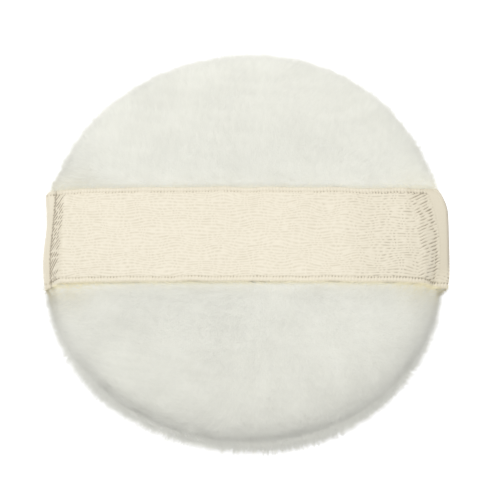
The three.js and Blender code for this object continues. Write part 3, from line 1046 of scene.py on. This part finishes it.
# %% Tone the weave with painted shade
# Painted shade: gaps between floats, the band, crease and strip at each end, the last bit of the right end,
# the hollows between beads, the ticks and the edges are darkened, and the face towards its right end.
at_edge = 1 - ease(0.0, 0.12, from_edge)
to_right, far_right = (ease(start, 30.0, middle[..., 0]) * plain for start in (10.0, RIGHT_SIDE[0]))
gap_shade = 0.64 + 0.1 * far_right + by_end({1: 0.15, -1: 1.2}) * band - 0.65 * strip
shades = (
    (gap_shade, (1 - floats) * inside),
    (by_end({1: 0.27, -1: 0.1}), band),
    (by_end({1: 0.2, -1: 0.62}), fold),
    (by_end({1: 0.55, -1: 0.23}), strip),
    (0.3, last),
    (0.25, (1 - bead) * (1 - inside) * worn),
    (0.68, tick),
    (0.2, at_edge),
    (0.14, to_right),
)
upper_tone = np.clip(0.88 - sum(strength * place for strength, place in shades), 0, 1)
# painted shade at the edges of the underside too; the underside as a whole has a darker tone
lower_tone = 0.6 - 0.25 * at_edge
print("Mean tone of the face:", round(upper_tone.mean(), 2))


# %% Close each half and give it normals and a bake map
def ribbon_half(name, columns):
    """One closed half of the ribbon from its two faces."""

    def joined(*faces):
        return join([face[:, columns].reshape(-1, *face.shape[2:]) for face in faces])

    points, normals = joined(upper, lower), joined(upper_normals, lower_normals)
    rows, count = upper[:, columns].shape[:2]
    grid = np.arange(rows * count).reshape(rows, count)
    over = np.stack([grid[:-1, :-1], grid[:-1, 1:], grid[1:, 1:], grid[1:, :-1]], -1).reshape(-1, 4)
    under = over[:, ::-1] + grid.size
    rim = join([grid[0], grid[1:, -1], grid[-1, -2::-1], grid[-2:0:-1, 0]])
    following = np.roll(rim, -1)
    walls = np.stack([rim, rim + grid.size, following + grid.size, following], -1)
    faces = join([over, under, walls])
    made = new_mesh(name, points, faces)
    add_tone(made, joined(upper_tone, lower_tone))

    corner_normals = normals[faces.ravel()]
    start, below, _, beside = (points[walls[:, corner]] for corner in range(4))
    outward = unit(np.cross(below - start, beside - start))
    corner_normals[-walls.size:] = np.repeat(outward, 4, 0)
    made.data.normals_split_custom_set(corner_normals)

    j, i = np.meshgrid(np.linspace(0, 1, count), np.linspace(0, 1, rows))
    spread = np.stack([j.ravel(), i.ravel()], -1) * (0.98, 0.46)
    maps = join([spread + (0.01, 0.01), spread + (0.01, 0.49)])
    corner_maps = maps[faces.ravel()]
    step = np.linspace(0.01, 0.99, len(walls) + 1)
    wall_across = np.stack([step[:-1], step[:-1], step[1:], step[1:]], -1)
    wall_height = np.tile((0.96, 0.99, 0.99, 0.96), (len(walls), 1))
    corner_maps[-walls.size:] = np.stack([wall_across.ravel(), wall_height.ravel()], -1)
    add_bake_map(made, corner_maps)
    return made


halves = {
    -1: ribbon_half("ribbon_left", slice(0, CELLS_ALONG + 1)),
    1: ribbon_half("ribbon_right", slice(CELLS_ALONG, None)),
}
print("Ribbon halves:", len(halves))

# %% [markdown]
# ## The satin finish
#
# Satin shines along its floats. The relief already breaks the highlight up, so the shader only needs a
# middling roughness, a little sheen and a cream colour that deepens with the tone of the weave.

# %% Dress the ribbon
# the darker stops are where the tone carries painted shade
SATIN_DEEP = (0.42, 0.365, 0.275)
SATIN_SHADE = (0.76, 0.695, 0.55)
SATIN_LIGHT = (0.85, 0.785, 0.64)

satin, tree, shader = new_finish("satin", 0.4, sheen=0.1)
tone = point_value(tree, "tone")
paint(tree, shader, tone, (0.0, SATIN_DEEP), (0.35, SATIN_SHADE), (0.9, SATIN_LIGHT))
for way, half in halves.items():
    dress(half, satin, "ribbon_strap")
    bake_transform(half)

# %% [markdown]
# ## What is inside
#
# Nothing of the filling or the sewing shows on a finished puff, but a part that is cut open should still
# hold them. The pad is open-cell foam: a mesh with a groove for the seam and a finish with cells. The
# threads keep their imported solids, with a twisted thread finish.

# %% Foam and threads
PAD_GAP = 0.3
PAD_RINGS = 40
PAD_TURNS = 120
GROOVE_LEVEL = 2.05


def foam_mesh():
    """The pad: two crowned sides with a groove for the seam between them."""
    crown = LINING_CROWN - PAD_GAP
    (out, up), _ = even_steps(PAD_RINGS, *dense_section(LINING_REACH - PAD_GAP, crown))
    kept = up > GROOVE_LEVEL
    out = join([out[kept][1:], [CUT_EDGE - PAD_GAP]])
    up = join([up[kept][1:], [GROOVE_LEVEL]])
    out, up = join([out, out[::-1]]), join([up, -up[::-1]])
    rings = all_round(out[:, None], SEAM_LEVEL + up[:, None], even_turns(PAD_TURNS))
    uneven = 0.06 * (1 + drift(71, 3.0)(rings))
    rings = rings - uneven[..., None] * unit(rings - (0, 0, SEAM_LEVEL))
    poles = np.array([[0, 0, SEAM_LEVEL + crown], [0, 0, SEAM_LEVEL - crown]])
    return closed_round("foam_filling", rings, poles)


foam, tree, shader = new_finish("open_cell_foam", 0.95)
cells = place_texture(tree, "Voronoi", Scale=1400.0).outputs["Distance"]
paint(tree, shader, cells, (0.1, (0.55, 0.53, 0.46)), (0.5, (0.87, 0.85, 0.78)))
add_bump(tree, shader, cells, 0.6, 0.0004)
filling = dress(foam_mesh(), foam, "foam_pad")
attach(filling, "puff")

cotton, tree, shader = new_finish("sewing_thread", 0.75, sheen=0.2)
ply = place_texture(tree, "Wave", Scale=1200.0)
ply.wave_type = "BANDS"
ply.bands_direction = "DIAGONAL"
paint(tree, shader, ply.outputs["Fac"], (0.1, (0.74, 0.69, 0.57)), (0.6, (0.87, 0.83, 0.72)))
add_bump(tree, shader, ply.outputs["Fac"], 0.5, 0.00005)
for name in ("needle_thread", "bobbin_thread", "closing_thread"):
    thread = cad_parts[name]
    thread.data.materials.clear()
    thread.data.materials.append(cotton)
print("Inside: foam and three threads")

# %% [markdown]
# ## The stage
#
# The puff lies on a white floor under soft studio light: a large lamp above, a little behind and to the
# left, a wide weak one in front, and a bright surround that keeps the shadows open. The floor glows by
# itself, so it stays white right up to the puff.

# %% Floor, lamps and surround
FLOOR_SIZE = 3.0
LAMP_AIM = Vector((0, 0, 0.01))
WHITE = (1.0, 1.0, 1.0, 1.0)


def soft_lamp(name, place, size, power):
    lamp = bpy.data.lights.new(name, "AREA")
    lamp.size = size
    lamp.energy = power
    holder = bpy.data.objects.new(name, lamp)
    holder.location = place
    holder.rotation_euler = (LAMP_AIM - Vector(place)).to_track_quat("-Z", "Y").to_euler()
    scene.collection.objects.link(holder)


corner = FLOOR_SIZE / 2 / MM
floor_corners = [[-corner, -corner, 0], [corner, -corner, 0], [corner, corner, 0], [-corner, corner, 0]]
floor = new_mesh("floor", np.array(floor_corners), np.array([[0, 1, 2, 3]]))
pale, tree, shader = new_finish("pale_floor", 0.9)
shader.inputs["Base Color"].default_value = (0.25, 0.25, 0.25, 1.0)
shader.inputs["Emission Color"].default_value = WHITE
shader.inputs["Emission Strength"].default_value = 1.0
floor.data.materials.append(pale)

soft_lamp("key", (-0.10, 0.285, 0.80), 0.7, 4.0)
soft_lamp("fill", (0.1, -0.70, 0.45), 0.9, 0.15)

surround = bpy.data.worlds.new("surround")
surround.use_nodes = True
sky = surround.node_tree.nodes["Background"]
sky.inputs["Color"].default_value = WHITE
sky.inputs["Strength"].default_value = 0.58
scene.world = surround
scene.view_settings.view_transform = "Standard"
print("Stage ready")
